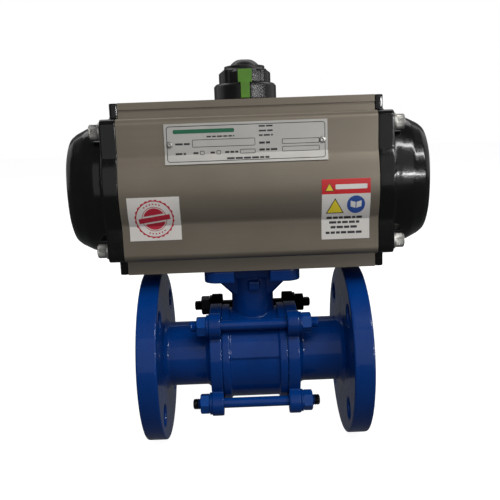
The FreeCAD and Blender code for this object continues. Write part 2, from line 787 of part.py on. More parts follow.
def parts():
    right_gasket = end_cap_gasket()
    right_cap = end_cap()
    right_piston = piston_right()
    right_pad = piston_guide_pad()
    right_wear = piston_wear_ring()
    right_oring = piston_oring()
    right_end = valve_end()
    right_seat = seat()
    nodes = {
        "actuator_body": actuator_body(),
        "end_cap_right": right_cap,
        "end_cap_left": mirrored(right_cap),
        "end_cap_gasket_right": right_gasket,
        "end_cap_gasket_left": mirrored(right_gasket),
        "end_cap_screws": end_cap_screws(),
        "end_cap_screw_washers": end_cap_screw_washers(),
        "piston_right": right_piston,
        "piston_left": turned(right_piston),
        "piston_guide_pad_right": right_pad,
        "piston_guide_pad_left": turned(right_pad),
        "piston_wear_ring_right": right_wear,
        "piston_wear_ring_left": turned(right_wear),
        "piston_oring_right": right_oring,
        "piston_oring_left": turned(right_oring),
        "pinion": pinion(),
        "pinion_bearing_top": ring("z", TOP_JOURNAL_R + FIT, TOP_BORE_R, TOP_Z - 16.5, TOP_Z - 8),
        "pinion_bearing_bottom": ring(
            "z", LOW_JOURNAL_R + FIT, LOW_BORE_R, PAD_TOP + 8, PAD_TOP + 16.5),
        "pinion_oring_top": torus("z", TOP_JOURNAL_R + 0.25, SEAL_TUBE_R, TOP_SEAL_Z),
        "pinion_oring_bottom": torus("z", LOW_JOURNAL_R + 0.25, SEAL_TUBE_R, LOW_SEAL_Z),
        "pinion_thrust_washer": ring("z", TOP_JOURNAL_R + FIT, 17.0, TOP_Z, TOP_Z + 1.4),
        "pinion_steel_washer": ring("z", TOP_JOURNAL_R, 17.0, TOP_Z + 1.5, TOP_Z + 2.5),
        "pinion_snap_ring": ring("z", TOP_JOURNAL_R - 1, 15.5, *SNAP_BAND).cut(
            block((-3, 3), (0, 20), SNAP_BAND)),
        "stop_cam": stop_cam(),
        "stop_screw_open": stop_screw(STOP_X),
        "stop_screw_closed": stop_screw(-STOP_X),
        "stop_lock_nuts": Part.makeCompound([stop_lock_nut(x) for x in (-STOP_X, STOP_X)]),
        "stop_seal_washers": Part.makeCompound([stop_seal_washer(x) for x in (-STOP_X, STOP_X)]),
        "indicator_base": indicator_base(),
        "indicator_cap": indicator_cap(),
        "indicator_inserts": Part.makeCompound(inserts()),
        "indicator_screw": indicator_screw(),
        "nameplate": nameplate(),
        "nameplate_rivets": nameplate_rivets(),
        "round_mark_label": label((-81.0, -46.4), (-33.0, -3.5), FILM_THICK),
        "red_header_label": label((47.6, 79.8), (-36.6, 4.2), FILM_THICK),
        "valve_body": valve_body(),
        "valve_end_outlet": right_end,
        "valve_end_inlet": mirrored(right_end),
        "ball": ball(),
        "seat_outlet": right_seat,
        "seat_inlet": mirrored(right_seat),
        "body_seal_outlet": body_seal(),
        "body_seal_inlet": mirrored(body_seal()),
        "stem": stem(),
        "stem_thrust_washer": stem_thrust_washer(),
        "stem_packing": stem_packing(),
        "packing_gland": packing_gland(),
        "disc_springs": disc_springs(),
        "stem_washer": stem_washer(),
        "stem_nut": stem_nut(),
        "mounting_screws": mounting_screws(),
    }
    nodes.update(tie_rod_set())
    return nodes


os.makedirs("parts", exist_ok=True)
for node, shape in parts().items():
    if not shape.isValid() or not shape.Solids:
        raise ValueError(node + " is not a valid solid")
    shape.exportStep("parts/" + node + ".step")
    print(node, len(shape.Solids), round(shape.Volume))
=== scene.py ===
import json
import math
import random

import bmesh
import bpy
from mathutils import Matrix, Vector

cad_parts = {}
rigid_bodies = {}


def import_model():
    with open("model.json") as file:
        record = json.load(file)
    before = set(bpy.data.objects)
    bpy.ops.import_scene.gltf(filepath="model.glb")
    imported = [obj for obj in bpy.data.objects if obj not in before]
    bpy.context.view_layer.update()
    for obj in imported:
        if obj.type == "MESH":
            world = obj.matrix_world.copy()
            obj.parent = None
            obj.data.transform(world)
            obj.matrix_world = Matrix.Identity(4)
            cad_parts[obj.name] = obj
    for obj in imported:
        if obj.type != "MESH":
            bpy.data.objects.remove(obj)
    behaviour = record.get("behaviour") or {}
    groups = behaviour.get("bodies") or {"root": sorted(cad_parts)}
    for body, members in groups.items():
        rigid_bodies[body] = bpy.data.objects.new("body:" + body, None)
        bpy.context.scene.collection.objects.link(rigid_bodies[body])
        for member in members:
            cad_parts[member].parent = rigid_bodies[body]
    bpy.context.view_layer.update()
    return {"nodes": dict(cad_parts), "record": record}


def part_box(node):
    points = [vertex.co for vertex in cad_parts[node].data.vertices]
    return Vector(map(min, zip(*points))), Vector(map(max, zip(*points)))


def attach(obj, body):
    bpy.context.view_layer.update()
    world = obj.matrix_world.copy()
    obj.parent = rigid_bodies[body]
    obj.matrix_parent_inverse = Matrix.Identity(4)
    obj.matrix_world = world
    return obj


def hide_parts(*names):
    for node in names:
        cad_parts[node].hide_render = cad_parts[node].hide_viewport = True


for leftover in list(bpy.data.objects):
    bpy.data.objects.remove(leftover)

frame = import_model()

MM = 0.001
NODES = frame["nodes"]


def span(node):
    """Lowest and highest corner of a CAD node, in millimetres."""
    low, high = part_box(node)
    return low / MM, high / MM


# ---- Places and sizes read from the frame, millimetres ----

BODY_LOW, BODY_HIGH = span("actuator_body")
AXIS_Z = (BODY_LOW.z + BODY_HIGH.z) / 2
CREST_R = -BODY_LOW.y
PLATE_LOW, PLATE_HIGH = span("nameplate")
FLAT_Y = -PLATE_HIGH.y
CREASE = math.sqrt(CREST_R ** 2 - FLAT_Y ** 2)
FLANGE_R = span("valve_end_outlet")[1].z
ROD_R = 4.0
ROD_HIGH = span("tie_rods")[1]
ROD_PITCH = ROD_HIGH.z - ROD_R
NUT_HIGH = span("tie_rod_nuts")[1]
WASHER_HIGH = span("tie_rod_washers")[1]
CAP_WASHER_HIGH = span("end_cap_screw_washers")[1]
CAP_SCREW_HIGH = span("end_cap_screws")[1]

# ---- Sizes of fasteners and print, millimetres ----

M8_PITCH = 1.25
M8_DEPTH = 0.55
NUT_TURN = 0.35
WASHER_R = 8.0
WASHER_THICK = 1.6
CAP_SCREW_R = 5.0
CAP_SCREW_SHANK_R = 3.0
CAP_WASHER_R = 5.9
CAP_WASHER_THICK = 1.6
CAP_SOCKET = 5.0
KNURL_RIDGES = 36
KNURL_DEPTH = 0.32
STOP_SOCKET = 4.0
RINGS_PER_TURN = 6
PORT_PITCH = 1.337
PORT_DEPTH = 0.75
RIVET_SPREAD = 1.3
PLATE_THICK = 0.8
FILM_THICK = 0.2
INK_THICK = 0.04
PRINT_SLICE = 2
WORD_GAP = 0.7


# ---- Mesh tools: everything is given in millimetres and made in metres ----

def show(mesh, name, body, slot, *nodes, material=None):
    """Adds a piece that rides on a body and stands for nodes, in its slot's finish or another."""
    obj = bpy.data.objects.new(name, mesh)
    bpy.context.scene.collection.objects.link(obj)
    obj.data.materials.clear()
    obj.data.materials.append(material or FINISH[slot])
    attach(obj, body)
    if nodes:
        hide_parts(*nodes)


def mesh_from(bm, name, sharp=35):
    """Closes the bmesh into a mesh in metres, smooth except along its sharp edges."""
    bmesh.ops.recalc_face_normals(bm, faces=bm.faces)
    bmesh.ops.scale(bm, vec=(MM, MM, MM), verts=bm.verts)
    for face in bm.faces:
        face.smooth = True
    mesh = bpy.data.meshes.new(name)
    bm.to_mesh(mesh)
    bm.free()
    mesh.set_sharp_from_angle(angle=math.radians(sharp))
    return mesh


def axis_matrix(axis, centre):
    """Turns +Z into the axis (given with its sign) and moves the origin to the centre."""
    turn = Vector((0, 0, 1)).rotation_difference(Vector(axis)).to_matrix().to_4x4()
    return Matrix.Translation(Vector(centre)) @ turn


def stack(bm, rings, count, place, closed=True):
    """Skin over rings of points. A ring is a function of the angle that gives (radius, height)."""
    rows = []
    for ring in rings:
        row = []
        for i in range(count):
            angle = 2 * math.pi * i / count
            radius, height = ring(angle) if callable(ring) else ring
            point = Vector((radius * math.cos(angle), radius * math.sin(angle), height))
            row.append(bm.verts.new(place @ point))
        rows.append(row)
    pairs = list(zip(rows, rows[1:]))
    if closed:
        pairs.append((rows[-1], rows[0]))
    for low, high in pairs:
        for i in range(count):
            j = (i + 1) % count
            bm.faces.new((low[i], low[j], high[j], high[i]))
    if not closed:
        bm.faces.new(rows[0][::-1])
        bm.faces.new(rows[-1])


def rounded(points, radius, steps=4):
    """Profile points with each inner corner replaced by an arc of the radius."""
    out = [points[0]]
    for before, here, after in zip(points, points[1:], points[2:]):
        a, b, c = Vector(before), Vector(here), Vector(after)
        into, away = (b - a).normalized(), (c - b).normalized()
        half = into.angle(away) / 2
        reach = min(radius * math.tan(half), (b - a).length * 0.49, (c - b).length * 0.49)
        if reach < 1e-6:
            out.append(here)
            continue
        start, end = b - into * reach, b + away * reach
        for i in range(steps + 1):
            t = i / steps
            out.append(tuple(start * (1 - t) ** 2 + b * 2 * t * (1 - t) + end * t ** 2))
    out.append(points[-1])
    return out


def hexagon(flats, start=0.0):
    """Radius of a hexagon at an angle."""
    def radius(angle):
        inside = (angle - start) % (math.pi / 3) - math.pi / 6
        return flats / 2 / math.cos(inside)
    return radius


def nut(bm, flats, bore, height, place, turn=0.0, count=72):
    """Hexagon nut with both faces chamfered to a circle and the bore countersunk."""
    outline = hexagon(flats, turn)
    circle = flats / 2 * 0.985
    slope = math.tan(math.radians(30))

    def drop(angle):
        return (outline(angle) - circle) * slope

    rings = [
        (bore, 0.7), (bore + 0.7, 0.0), (circle, 0.0),
        lambda a: (outline(a), drop(a)),
        lambda a: (outline(a), height - drop(a)),
        (circle, height), (bore + 0.7, height), (bore, height - 0.7),
    ]
    stack(bm, rings, count, place)


def washer(bm, bore, outer, thick, edge, place, start=0.2):
    """Flat washer with rounded edges; the ring of its bore begins at the start height."""
    profile = rounded([(bore, start), (bore, 0.0), (outer, 0.0), (outer, thick), (bore, thick),
                       (bore, start)], edge)
    stack(bm, profile[:-1], 48, place)


def threaded(radius, depth, pitch, start, end):
    """Rings of a helical thread from start to end and of the rounded tip beyond it."""
    steps = int((end - start) / pitch * RINGS_PER_TURN)
    rings = []
    for i in range(steps + 1):
        height = start + (end - start) * i / steps
        fade = min(1.0, (steps - i) / 8, i / 4)

        def ring(angle, height=height, fade=fade):
            phase = (height / pitch - angle / (2 * math.pi)) % 1.0
            wave = abs(phase * 2 - 1)
            return radius - depth * (1 - fade) * 0.6 - depth * wave * fade, height
        rings.append(ring)
    rings += [(radius - depth - 0.3, end + 0.35), (radius - depth - 1.0, end + 0.7)]
    return rings


def cad_copy(node, bevel=0.0, segments=2, voxel=0.0, smooth=0, keep=1.0):
    """Mesh made from a CAD solid: welded, then with bevelled edges or as a smoothed casting."""
    bm = bmesh.new()
    bm.from_mesh(NODES[node].data)
    bmesh.ops.remove_doubles(bm, verts=bm.verts, dist=2e-6)
    for face in bm.faces:
        face.smooth = True
    mesh = bpy.data.meshes.new(node + "_copy")
    bm.to_mesh(mesh)
    bm.free()
    work = bpy.data.objects.new(node + "_copy", mesh)
    bpy.context.scene.collection.objects.link(work)
    if voxel:
        remesh = work.modifiers.new("remesh", "REMESH")
        remesh.mode = "VOXEL"
        remesh.voxel_size = voxel * MM
        remesh.use_smooth_shade = True
        relax = work.modifiers.new("relax", "SMOOTH")
        relax.factor = 0.5
        relax.iterations = smooth
        if keep < 1.0:
            fewer = work.modifiers.new("fewer", "DECIMATE")
            fewer.ratio = keep
    if bevel:
        edges = work.modifiers.new("edges", "BEVEL")
        edges.width = bevel * MM
        edges.segments = segments
        edges.limit_method = "ANGLE"
        edges.angle_limit = math.radians(32)
        edges.use_clamp_overlap = True
        even = work.modifiers.new("even", "WEIGHTED_NORMAL")
        even.keep_sharp = True
    depsgraph = bpy.context.evaluated_depsgraph_get()
    made = bpy.data.meshes.new_from_object(work.evaluated_get(depsgraph))
    bpy.data.objects.remove(work)
    bpy.data.meshes.remove(mesh)
    if not bevel:
        made.shade_smooth()
    return made


# ---- Materials ----

class Finish:
    """Node material built from the piece's own coordinates."""

    def __init__(self, name, colour, metallic=0.0, roughness=0.5, **sockets):
        self.material = bpy.data.materials.new(name)
        self.material.use_nodes = True
        self.tree = self.material.node_tree
        self.shader = self.tree.nodes["Principled BSDF"]
        self.shader.inputs["Base Color"].default_value = (*colour, 1)
        self.shader.inputs["Metallic"].default_value = metallic
        self.shader.inputs["Roughness"].default_value = roughness
        for socket, value in sockets.items():
            self.shader.inputs[socket.replace("_", " ")].default_value = value
        self.place = self.node("ShaderNodeTexCoord").outputs["Object"]

    def node(self, kind, **settings):
        """New shader node of a kind with its settings."""
        made = self.tree.nodes.new(kind)
        for key, value in settings.items():
            setattr(made, key, value)
        return made

    def link(self, source, target):
        """Joins an output to an input."""
        self.tree.links.new(source, target)

    def noise(self, per_metre, detail=3.0, roughness=0.55, stretch=(1, 1, 1), distortion=0.0):
        """Noise of so many cells a metre, stretched along an axis where its factor is small."""
        mapping = self.node("ShaderNodeMapping")
        mapping.inputs["Scale"].default_value = stretch
        self.link(self.place, mapping.inputs["Vector"])
        noise = self.node("ShaderNodeTexNoise")
        noise.inputs["Scale"].default_value = per_metre
        noise.inputs["Detail"].default_value = detail
        noise.inputs["Roughness"].default_value = roughness
        noise.inputs["Distortion"].default_value = distortion
        self.link(mapping.outputs["Vector"], noise.inputs["Vector"])
        return noise.outputs["Fac"]

    def spread(self, value, low, high, new_low, new_high):
        """Value mapped from one range to another and held inside it."""
        ramp = self.node("ShaderNodeMapRange")
        for key, number in (("From Min", low), ("From Max", high),
                            ("To Min", new_low), ("To Max", new_high)):
            ramp.inputs[key].default_value = number
        self.link(value, ramp.inputs["Value"])
        return ramp.outputs["Result"]

    def mix(self, factor, first, second):
        """Colour between first and second, each a colour or another node's output."""
        mixer = self.node("ShaderNodeMix", data_type="RGBA")
        self.link(factor, mixer.inputs["Factor"])
        # A, B and Result stand in the node once for each data type; these are the colours.
        for socket, colour in ((mixer.inputs[6], first), (mixer.inputs[7], second)):
            if isinstance(colour, tuple):
                socket.default_value = (*colour, 1)
            else:
                self.link(colour, socket)
        return mixer.outputs[2]

    def edges(self, low, high):
        """1 on sharp convex edges, 0 elsewhere."""
        pointiness = self.node("ShaderNodeNewGeometry").outputs["Pointiness"]
        return self.spread(pointiness, low, high, 0.0, 1.0)

    def near_line(self, y, z, close, far, inner, outer):
        """Mask round a line along X through (y, z), between two distances from the stem.

        It is 1 up to the close distance from the line and 0 from the far one; all in metres.
        """
        ends = self.node("ShaderNodeMapping")
        ends.inputs["Location"].default_value = (0, -y, -z)
        self.link(self.place, ends.inputs["Vector"])
        axes = self.node("ShaderNodeSeparateXYZ")
        self.link(ends.outputs["Vector"], axes.inputs[0])
        across = self.node("ShaderNodeCombineXYZ")
        self.link(axes.outputs["Y"], across.inputs["Y"])
        self.link(axes.outputs["Z"], across.inputs["Z"])
        distance = self.node("ShaderNodeVectorMath", operation="LENGTH")
        self.link(across.outputs[0], distance.inputs[0])
        along = self.node("ShaderNodeMath", operation="ABSOLUTE")
        self.link(axes.outputs["X"], along.inputs[0])
        both = self.node("ShaderNodeMath", operation="MULTIPLY")
        fade = 2 * MM
        inside = self.spread(along.outputs[0], outer, outer + fade, 1.0, 0.0)
        outside = self.spread(along.outputs[0], inner - fade, inner, 0.0, 1.0)
        self.link(self.spread(distance.outputs["Value"], close, far, 1.0, 0.0), both.inputs[0])
        self.link(inside, both.inputs[1])
        ends_only = self.node("ShaderNodeMath", operation="MULTIPLY")
        self.link(both.outputs[0], ends_only.inputs[0])
        self.link(outside, ends_only.inputs[1])
        return ends_only.outputs[0]

    def colour(self, source):
        """Drives the base colour."""
        self.link(source, self.shader.inputs["Base Color"])

    def rough(self, source):
        """Drives the roughness."""
        self.link(source, self.shader.inputs["Roughness"])

    def bump(self, heights, strength=0.5):
        """Bump from (height, depth in millimetres) pairs, one over the other."""
        normal = None
        for height, depth in heights:
            bump = self.node("ShaderNodeBump")
            bump.inputs["Strength"].default_value = strength
            bump.inputs["Distance"].default_value = depth * MM
            self.link(height, bump.inputs["Height"])
            if normal:
                self.link(normal, bump.inputs["Normal"])
            normal = bump.outputs["Normal"]
        self.link(normal, self.shader.inputs["Normal"])


def anodised():
    """Warm grey anodised extrusion with drawing lines along the cylinder."""
    base, light, drawn = (0.174, 0.149, 0.115), (0.221, 0.193, 0.154), (0.196, 0.168, 0.133)
    finish = Finish("anodised_grey", base, metallic=0.5, roughness=0.4)
    lines = finish.noise(1, 4.0, 0.7, (8, 900, 900))
    clouds = finish.noise(22, 3.0)
    finish.colour(finish.mix(finish.spread(lines, 0.3, 0.7, 0.0, 1.0),
                             finish.mix(finish.spread(clouds, 0.3, 0.7, 0.0, 1.0), base, light),
                             drawn))
    finish.rough(finish.spread(lines, 0.25, 0.75, 0.33, 0.45))
    finish.bump([(lines, 0.008), (finish.noise(5000, 2.0), 0.004)], 0.5)
    return finish.material


def powder_black():
    """Glossy black powder coat with orange peel."""
    base = (0.003, 0.0031, 0.0033)
    finish = Finish("powder_coat_black", base, roughness=0.16, Specular_IOR_Level=0.3,
                    Coat_Weight=0.2, Coat_Roughness=0.05)
    peel = finish.noise(750, 2.0, 0.5)
    fine = finish.noise(2400, 2.0, 0.5)
    dust = finish.noise(90, 5.0, 0.7)
    dusty = (0.008, 0.008, 0.008)
    finish.colour(finish.mix(finish.spread(dust, 0.5, 0.85, 0.0, 0.5), base, dusty))
    finish.rough(finish.spread(dust, 0.3, 0.7, 0.12, 0.19))
    finish.bump([(peel, 0.06), (fine, 0.008)], 0.5)
    return finish.material


def valve_paint():
    """Blue gloss paint over castings: paler convex edges as painted highlight, near-black painted
    shade without gloss round the rear upper lobes under the actuator, and dark lower stud ends.
    """
    # The paler blue is a painted highlight for the convex edges.
    base, deep, painted_edge_highlight = (0.0008, 0.036, 0.205), (0.0005, 0.026, 0.155), (0.004, 0.062, 0.29)
    # Near black: the lower stud ends' own dark colour, and painted shade under the actuator.
    dark_ends_and_painted_shade = (0.0035, 0.0037, 0.0045)
    gloss = {"Coat Weight": 0.35, "Specular IOR Level": 0.1}
    finish = Finish("gloss_blue_paint", base, roughness=0.3, Coat_Roughness=0.05)
    runs = finish.noise(28, 3.0, 0.5, (1, 1, 0.5), 0.4)
    cast = finish.noise(150, 3.0, 0.5)
    grain = finish.noise(700, 2.0, 0.5)
    body = finish.mix(finish.spread(runs, 0.35, 0.7, 0.0, 1.0), base, deep)
    # Convex edges turn paler blue: painted highlight.
    body = finish.mix(finish.edges(0.53, 0.62), body, painted_edge_highlight)
    rod = ROD_PITCH * MM
    # Painted shade: round the rear upper rod, under the actuator, lobes and paint go near black.
    painted_shade_mask = finish.near_line(rod, rod, close=0.0135, far=0.0155, inner=0.018, outer=0.045)
    tips = finish.near_line(-rod, -rod, close=0.0045, far=0.005,
                            inner=NUT_HIGH.x * MM + 0.002, outer=0.06)
    finish.colour(finish.mix(tips, finish.mix(painted_shade_mask, body, dark_ends_and_painted_shade), dark_ends_and_painted_shade))
    finish.rough(finish.spread(cast, 0.3, 0.7, 0.24, 0.36))
    # Where the painted shade lies, coat and specular fall to nothing, so it shows no highlight.
    for socket, painted in gloss.items():
        finish.link(finish.spread(painted_shade_mask, 0.0, 1.0, painted, 0.0), finish.shader.inputs[socket])
    finish.bump([(cast, 0.09), (grain, 0.012)], 0.5)
    return finish.material


def metal(name, colour, roughness, per_metre=900, depth=0.01, tint=0.75):
    """Bare metal with fine scratches or turning marks."""
    finish = Finish(name, colour, metallic=1.0, roughness=roughness)
    marks = finish.noise(per_metre, 4.0, 0.65)
    stains = finish.noise(130, 4.0, 0.6)
    darker = tuple(channel * tint for channel in colour)
    finish.colour(finish.mix(finish.spread(stains, 0.35, 0.7, 0.0, 1.0), colour, darker))
    finish.rough(finish.spread(marks, 0.3, 0.7, roughness * 0.75, min(1.0, roughness * 1.35)))
    finish.bump([(marks, depth)], 0.5)
    return finish.material


def moulded(name, colour, roughness, lighter=1.6, per_metre=1400, depth=0.02, **sockets):
    """Moulded plastic, rubber or film with a fine texture and slight mottling."""
    finish = Finish(name, colour, roughness=roughness, **sockets)
    texture = finish.noise(per_metre, 3.0, 0.6)
    mottle = finish.noise(160, 3.0, 0.6)
    second = tuple(min(1.0, channel * lighter) for channel in colour)
    finish.colour(finish.mix(finish.spread(mottle, 0.35, 0.75, 0.0, 1.0), colour, second))
    finish.rough(finish.spread(texture, 0.3, 0.7, roughness * 0.85, min(1.0, roughness * 1.15)))
    finish.bump([(texture, depth)], 0.5)
    return finish.material


def plate_metal():
    """Matt silver name plate, brushed along its length."""
    base = (0.46, 0.45, 0.43)
    finish = Finish("matt_silver_plate", base, metallic=0.35, roughness=0.42)
    brushed = finish.noise(1, 4.0, 0.7, (30, 30, 2600))
    stains = finish.noise(60, 4.0, 0.6)
    paler = (0.52, 0.51, 0.49)
    finish.colour(finish.mix(finish.spread(stains, 0.35, 0.75, 0.0, 1.0), base, paler))
    finish.rough(finish.spread(brushed, 0.3, 0.7, 0.36, 0.5))
    finish.bump([(brushed, 0.004)], 0.5)
    return finish.material


FINISH = {
    "body_anodised": anodised(),
    "cap_black": powder_black(),
    "seal_rubber": moulded("nitrile_rubber", (0.012, 0.012, 0.012), 0.6),
    "stainless": metal("stainless_steel", (0.5, 0.49, 0.46), 0.42, tint=0.8),
    "spring_steel": metal("spring_steel", (0.32, 0.31, 0.3), 0.35),
    "bearing_plastic": moulded("bearing_plastic", (0.62, 0.58, 0.48), 0.45,
                               lighter=1.1),
    "piston_cast": metal("cast_aluminium", (0.5, 0.5, 0.5), 0.5, per_metre=500,
                          depth=0.03),
    "pinion_steel": metal("nickel_plated_steel", (0.48, 0.46, 0.42), 0.28),
    "indicator_black": moulded("indicator_black", (0.006, 0.006, 0.0057), 0.28,
                               Specular_IOR_Level=0.3),
    "indicator_green": moulded("indicator_green", (0.07, 0.205, 0.01), 0.45, lighter=1.2,
                               depth=0.01),
    "plate_silver": plate_metal(),
    "label_film": moulded("label_film", (0.66, 0.64, 0.62), 0.34, lighter=1.05,
                          depth=0.003),
    "valve_blue": valve_paint(),
    "seat_ptfe": moulded("seat_ptfe", (0.78, 0.78, 0.76), 0.4, lighter=1.05),
}
INK = {name: moulded("ink_" + name, colour, roughness, lighter, depth=0.002)
       for name, colour, roughness, lighter in (
           ("black", (0.02, 0.02, 0.022), 0.4, 1.3),
           ("green", (0.004, 0.11, 0.05), 0.4, 1.2),
           ("crimson", (0.42, 0.012, 0.035), 0.4, 1.15),
           ("red", (0.55, 0.01, 0.015), 0.36, 1.1),
           ("yellow", (0.74, 0.6, 0.03), 0.4, 1.1),
           ("blue", (0.02, 0.07, 0.3), 0.4, 1.2),
           ("white", (0.72, 0.71, 0.7), 0.4, 1.05))}
# Near-black steel as painted shade for the rear upper tie bolt, which sits in the actuator's
# shadow.
PAINTED_SHADE_BOLT = metal("painted_shade_steel", (0.012, 0.012, 0.014), 0.4)

for node in NODES.values():
    for index, given in enumerate(list(node.data.materials)):
        node.data.materials[index] = FINISH[given.name.split(".")[0]]


# ---- Camera, light and floor ----

PALE = 1.0
FLOOR_RADIUS = 12.0
FLOOR_GAP = 0.4
CAMERA_PLACE = (-0.0043, -0.4684, 0.1614)
CAMERA_TURN = (-0.45, 10.04, -2.08)
CAMERA_LENS = 45.7
LAMP_TARGET = (0, 0, 0.1)


def camera():
    """The photograph's viewpoint: before the label side at body height, 10 degrees down."""
    yaw, pitch, roll = (math.radians(angle) for angle in CAMERA_TURN)
    forward = Vector((-math.sin(yaw) * math.cos(pitch), math.cos(yaw) * math.cos(pitch),
                      -math.sin(pitch)))
    right = Vector((math.cos(yaw), math.sin(yaw), 0))
    up = right.cross(forward)
    right_rolled = math.cos(roll) * right + math.sin(roll) * up
    up_rolled = -math.sin(roll) * right + math.cos(roll) * up
    data = bpy.data.cameras.new("photo_camera")
    data.lens = CAMERA_LENS
    obj = bpy.data.objects.new("photo_camera", data)
    bpy.context.scene.collection.objects.link(obj)
    turn = Matrix((right_rolled, up_rolled, -forward)).transposed()
    obj.matrix_world = Matrix.Translation(CAMERA_PLACE) @ turn.to_4x4()
    bpy.context.scene.camera = obj


def area_light(name, place, aim, size, power, colour=(1, 1, 1)):
    """Rectangular lamp that faces its aim; places in metres, power in watts."""
    data = bpy.data.lights.new(name, "AREA")
    data.shape = "RECTANGLE"
    data.size, data.size_y = size
    data.energy = power
    data.color = colour
    obj = bpy.data.objects.new(name, data)
    bpy.context.scene.collection.objects.link(obj)
    direction = Vector(aim) - Vector(place)
    obj.matrix_world = (Matrix.Translation(place)
                        @ direction.to_track_quat("-Z", "Y").to_matrix().to_4x4())
    return obj


def studio():
    """Pale floor and surround for the camera; soft lamps light a room that is otherwise dim."""
    bm = bmesh.new()
    bmesh.ops.create_circle(bm, cap_ends=True, segments=96, radius=FLOOR_RADIUS)
    bmesh.ops.translate(bm, vec=(0, 0, -(FLANGE_R + FLOOR_GAP) * MM), verts=bm.verts)
    mesh = bpy.data.meshes.new("floor")
    bm.to_mesh(mesh)
    bm.free()
    floor = bpy.data.objects.new("floor", mesh)
    bpy.context.scene.collection.objects.link(floor)
    paper = Finish("floor_paper", (0.3, 0.3, 0.3), roughness=0.9)
    paper.shader.inputs["Specular IOR Level"].default_value = 0.0
    paper.shader.inputs["Emission Color"].default_value = (1, 1, 1, 1)
    paper.shader.inputs["Emission Strength"].default_value = PALE - 0.05
    paper.bump([(paper.noise(900, 2.0), 0.02)], 0.2)
    floor.data.materials.append(paper.material)
    floor.visible_diffuse = False
    floor.visible_glossy = False

    world = bpy.data.worlds.new("surround")
    world.use_nodes = True
    nodes, links = world.node_tree.nodes, world.node_tree.links
    lit = nodes["Background"]
    lit.inputs["Color"].default_value = (0.93, 0.96, 1.0, 1)
    lit.inputs["Strength"].default_value = 0.12
    seen = nodes.new("ShaderNodeBackground")
    seen.inputs["Color"].default_value = (1, 1, 1, 1)
    seen.inputs["Strength"].default_value = PALE
    choose = nodes.new("ShaderNodeMixShader")
    links.new(nodes.new("ShaderNodeLightPath").outputs["Is Camera Ray"], choose.inputs["Fac"])
    links.new(lit.outputs["Background"], choose.inputs[1])
    links.new(seen.outputs["Background"], choose.inputs[2])
    links.new(choose.outputs["Shader"], nodes["World Output"].inputs["Surface"])
    bpy.context.scene.world = world
    bpy.context.scene.view_settings.view_transform = "Standard"

    key = area_light("key_lamp", (0.5, -1.0, 1.5), LAMP_TARGET, (2.4, 0.8), 32,
                     (1, 0.98, 0.93))
    key.visible_glossy = False
    area_light("front_lamp", (0.3, -2.8, 0.9), LAMP_TARGET, (4.0, 2.4), 16)
    area_light("back_lamp", (0, 1.5, 2.3), LAMP_TARGET, (4.0, 1.4), 26)
    area_light("left_lamp", (-2.6, 0.9, 1.0), LAMP_TARGET, (2.4, 2.0), 10)
    area_light("right_lamp", (2.6, 0.9, 1.0), LAMP_TARGET, (2.4, 2.0), 10)
    upper = area_light("upper_strip", (2.6, -1.2, 1.5), (2.6, 0, 0.15), (4.0, 0.13), 52)
    lower = area_light("lower_strip", (2.6, -1.3, 0.275), (2.6, 0, 0.14), (4.0, 0.05), 38)
    for strip in (upper, lower):
        strip.visible_diffuse = False


# ---- Castings and housings ----

def housings():
    """Extruded body with broken edges, and both caps as castings."""
    body = cad_copy("actuator_body", bevel=0.45)
    show(body, "body_extrusion", "housing", "body_anodised", "actuator_body")
    for side in ("left", "right"):
        cap = cad_copy("end_cap_" + side, voxel=0.75, smooth=8, keep=0.5)
        show(cap, "cap_casting_" + side, "housing", "cap_black", "end_cap_" + side)


def castings():
    """The three painted parts of the valve."""
    for side in ("inlet", "outlet"):
        end = cad_copy("valve_end_" + side, voxel=0.7, smooth=7, keep=0.5)
        show(end, "flanged_casting_" + side, "housing", "valve_blue", "valve_end_" + side)
    body = cad_copy("valve_body", voxel=0.6, smooth=7, keep=0.5)
    show(body, "valve_casting", "housing", "valve_blue", "valve_body")


def indicator():
    """Black ring and dome with two green marks."""
    for node, name in (("indicator_base", "indicator_ring"), ("indicator_cap", "indicator_dome")):
        moulding = cad_copy(node, voxel=0.3, smooth=12, keep=0.8)
        show(moulding, name, "drive", "indicator_black", node)
    marks = cad_copy("indicator_inserts", bevel=0.7, segments=3)
    show(marks, "indicator_marks", "drive", "indicator_green", "indicator_inserts")


# ---- Fasteners ----

def flipped(ring):
    """The same ring mirrored to the other end of the rod."""
    if callable(ring):
        return lambda angle: (ring(-angle)[0], -ring(-angle)[1])
    return ring[0], -ring[1]


def tie_bolts():
    """Plain rods with threaded ends, chamfered nuts and washers."""
    right = threaded(ROD_R, M8_DEPTH, M8_PITCH, WASHER_HIGH.x - 2, ROD_HIGH.x - 0.7)
    left = [flipped(ring) for ring in reversed(right)]
    flats, height = 2 * (NUT_HIGH.z - ROD_PITCH), NUT_HIGH.x - WASHER_HIGH.x
    # The rear upper bolt takes the painted-shade steel, near black where the actuator shades it;
    # the other three are blue paint.
    for group, places, paint in (("front", [(-1, 1), (-1, -1), (1, -1)], FINISH["valve_blue"]),
                                 ("rear", [(1, 1)], PAINTED_SHADE_BOLT)):
        rods, nuts, washers = bmesh.new(), bmesh.new(), bmesh.new()
        for y_side, z_side in places:
            y, z = y_side * ROD_PITCH, z_side * ROD_PITCH
            stack(rods, left + right, 36, axis_matrix((1, 0, 0), (0, y, z)), closed=False)
            for sign in (-1, 1):
                nut(nuts, flats, ROD_R, height,
                    axis_matrix((sign, 0, 0), (sign * WASHER_HIGH.x, y, z)),
                    turn=NUT_TURN * y_side)
                back = sign * (WASHER_HIGH.x - WASHER_THICK)
                washer(washers, ROD_R + 0.2, WASHER_R, WASHER_THICK, 0.35,
                       axis_matrix((sign, 0, 0), (back, y, z)))
        for bm, kind, node in ((rods, "tie_bolt_rods", "tie_rods"),
                               (nuts, "tie_bolt_nuts", "tie_rod_nuts"),
                               (washers, "tie_bolt_washers", "tie_rod_washers")):
            show(mesh_from(bm, kind), kind + "_" + group, "housing", "valve_blue", node,
                 material=paint)


